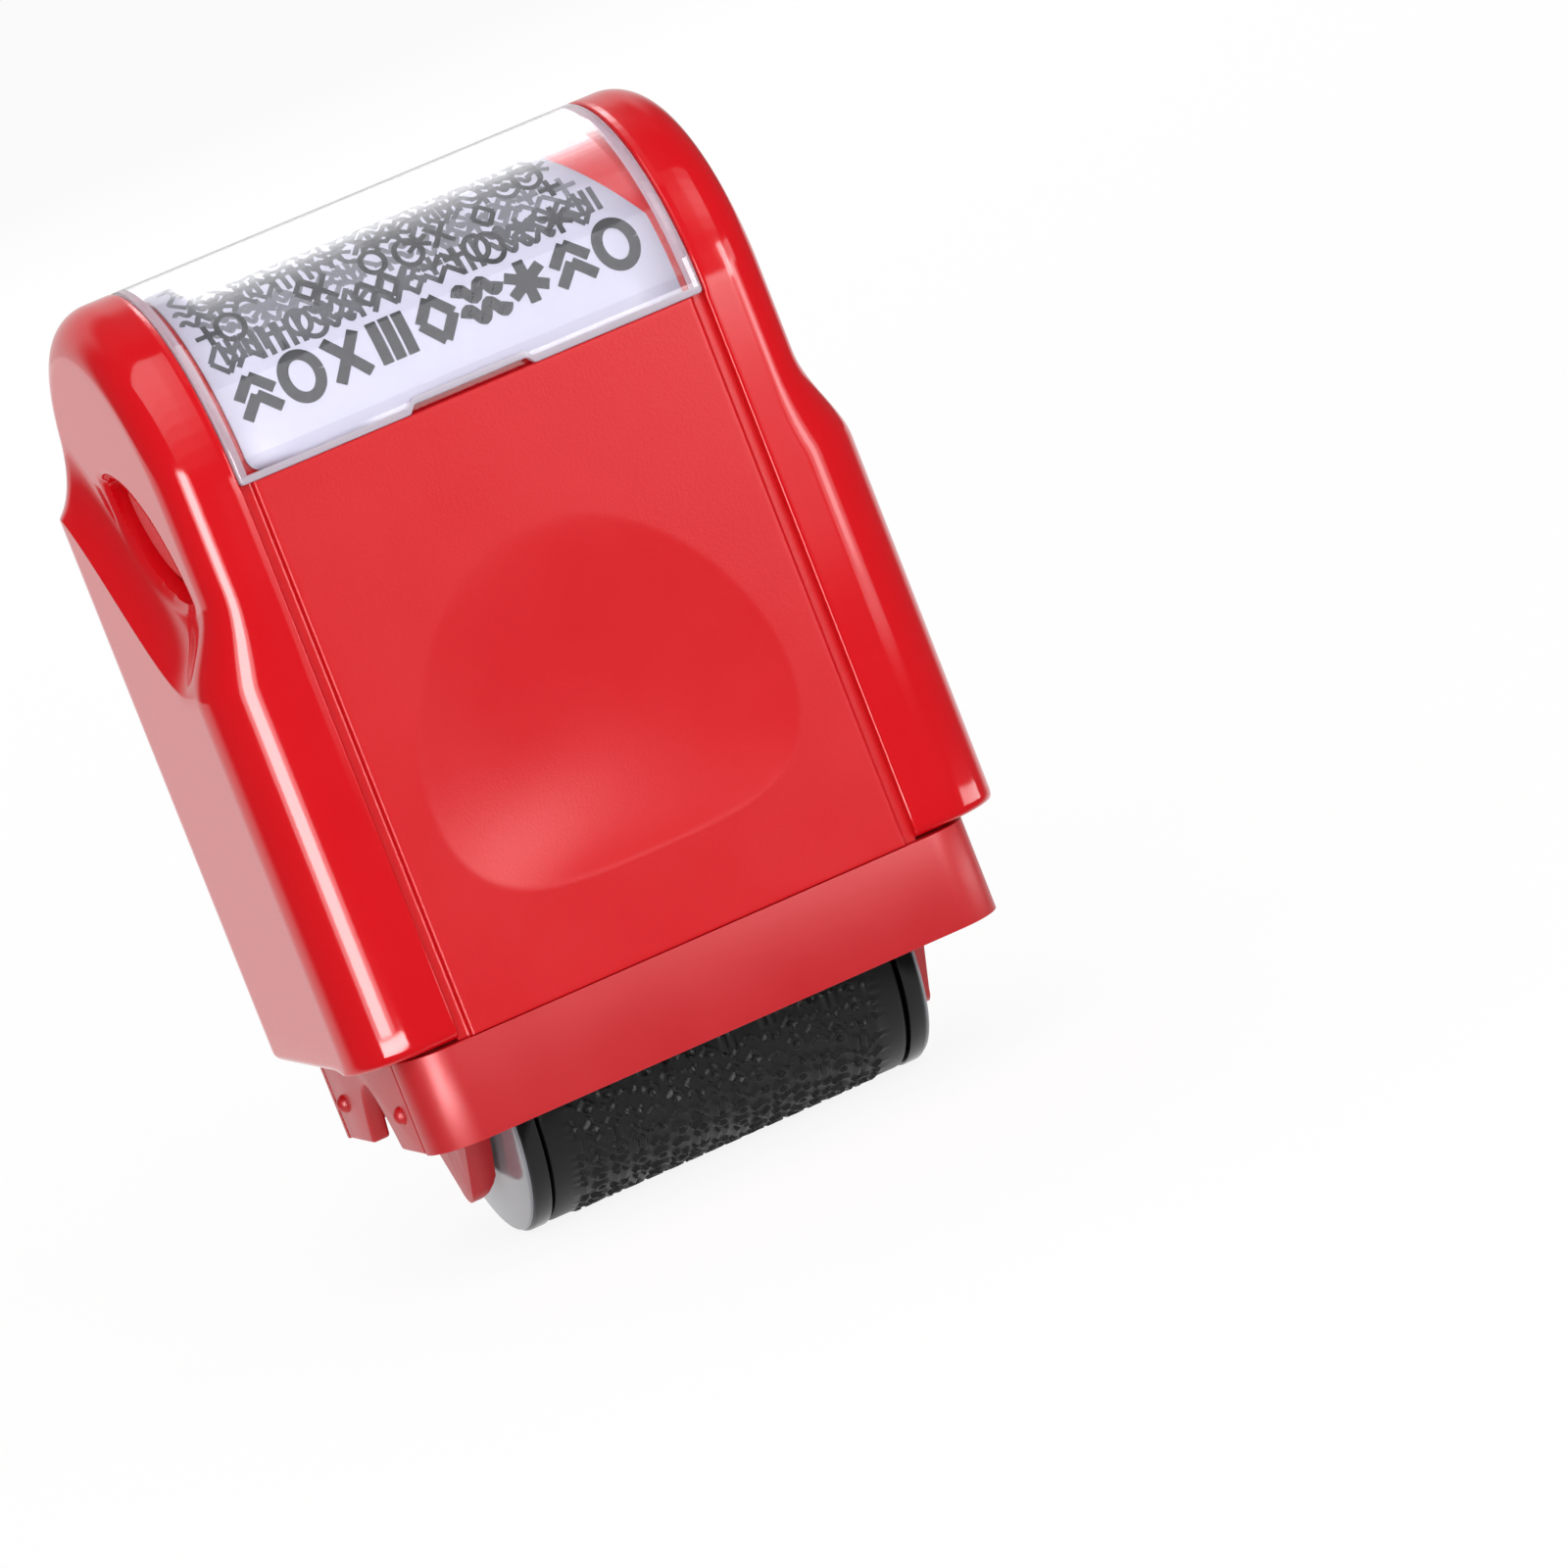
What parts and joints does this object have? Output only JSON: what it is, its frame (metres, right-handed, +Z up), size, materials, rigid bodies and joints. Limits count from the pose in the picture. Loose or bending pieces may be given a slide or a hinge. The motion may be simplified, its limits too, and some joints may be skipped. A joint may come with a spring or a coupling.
{
  "type": "privacy roller stamp",
  "caption": "Wide roller stamp that prints a masking pattern over text: finger-gripped casing with a window, lift-out ink cartridge, rubber print roller and foam ink roller.",
  "frame": {"origin": "on the paper, under the middle of the print roller", "axes": "+Z up away from the paper, +X along the rollers to the right as seen from the thumb panel, +Y from the thumb panel to the back"},
  "size_m": [0.062, 0.035, 0.0885],
  "materials": {
    "gloss_red": "glossy moulded ABS",
    "grained_red": "fine moulded grain",
    "satin_red": "satin moulded ABS",
    "clear_window": "polished clear polystyrene",
    "label_paper": "printed label stock",
    "black_plastic": "satin moulded ABS",
    "black_rubber": "moulded rubber with a fine raised pattern",
    "inked_foam": "ink-soaked open foam",
    "bright_steel": "ground rod",
    "white_acetal": "natural moulded acetal"
  },
  "bodies": {
    "casing": {"outer_casing": "gloss_red", "front_grip_panel": "grained_red", "rear_grip_panel": "grained_red", "index_label": "label_paper", "left_latch_pin": "bright_steel", "right_latch_pin": "bright_steel"},
    "window": {"window_cover": "clear_window"},
    "cartridge": {"left_side_frame": "satin_red", "right_side_frame": "satin_red", "front_skirt": "satin_red", "rear_skirt": "satin_red", "cartridge_hood": "black_plastic", "print_axle": "bright_steel", "ink_axle": "bright_steel", "left_print_axle_clip": "bright_steel", "right_print_axle_clip": "bright_steel", "left_ink_axle_clip": "bright_steel", "right_ink_axle_clip": "bright_steel"},
    "print_roller": {"roller_core": "black_plastic", "rubber_sleeve": "black_rubber", "left_flange": "black_plastic", "right_flange": "black_plastic", "left_bush": "white_acetal", "right_bush": "white_acetal"},
    "ink_roller": {"ink_core": "white_acetal", "ink_foam": "inked_foam", "left_ink_disc": "white_acetal", "right_ink_disc": "white_acetal"},
    "left_latch": {"left_release_latch": "satin_red"},
    "right_latch": {"right_release_latch": "satin_red"}
  },
  "joints": [
    {"name": "cartridge_slide", "type": "slide", "parent": "casing", "child": "cartridge", "axis": [0, 0, -1], "range_m": [0, 0.03]},
    {"name": "print_roller_spin", "type": "hinge", "parent": "cartridge", "child": "print_roller", "pos_m": [0, 0, 0.013], "axis": [1, 0, 0], "continuous": true},
    {"name": "ink_roller_spin", "type": "hinge", "parent": "cartridge", "child": "ink_roller", "pos_m": [0, 0, 0.0343], "axis": [1, 0, 0], "continuous": true},
    {"name": "left_latch_press", "type": "hinge", "parent": "casing", "child": "left_latch", "pos_m": [-0.0254, 0, 0.05], "axis": [0, 1, 0], "range_deg": [0, 4], "stiffness_Nm_per_rad": 1},
    {"name": "right_latch_press", "type": "hinge", "parent": "casing", "child": "right_latch", "pos_m": [0.0254, 0, 0.05], "axis": [0, -1, 0], "range_deg": [0, 4], "stiffness_Nm_per_rad": 1},
    {"name": "window_lift", "type": "slide", "parent": "casing", "child": "window", "axis": [0, 0, 1], "range_m": [0, 0.02]}
  ],
  "couplings": [
    {"joint": "ink_roller_spin", "follows": "print_roller_spin", "ratio": -1.625}
  ]
}
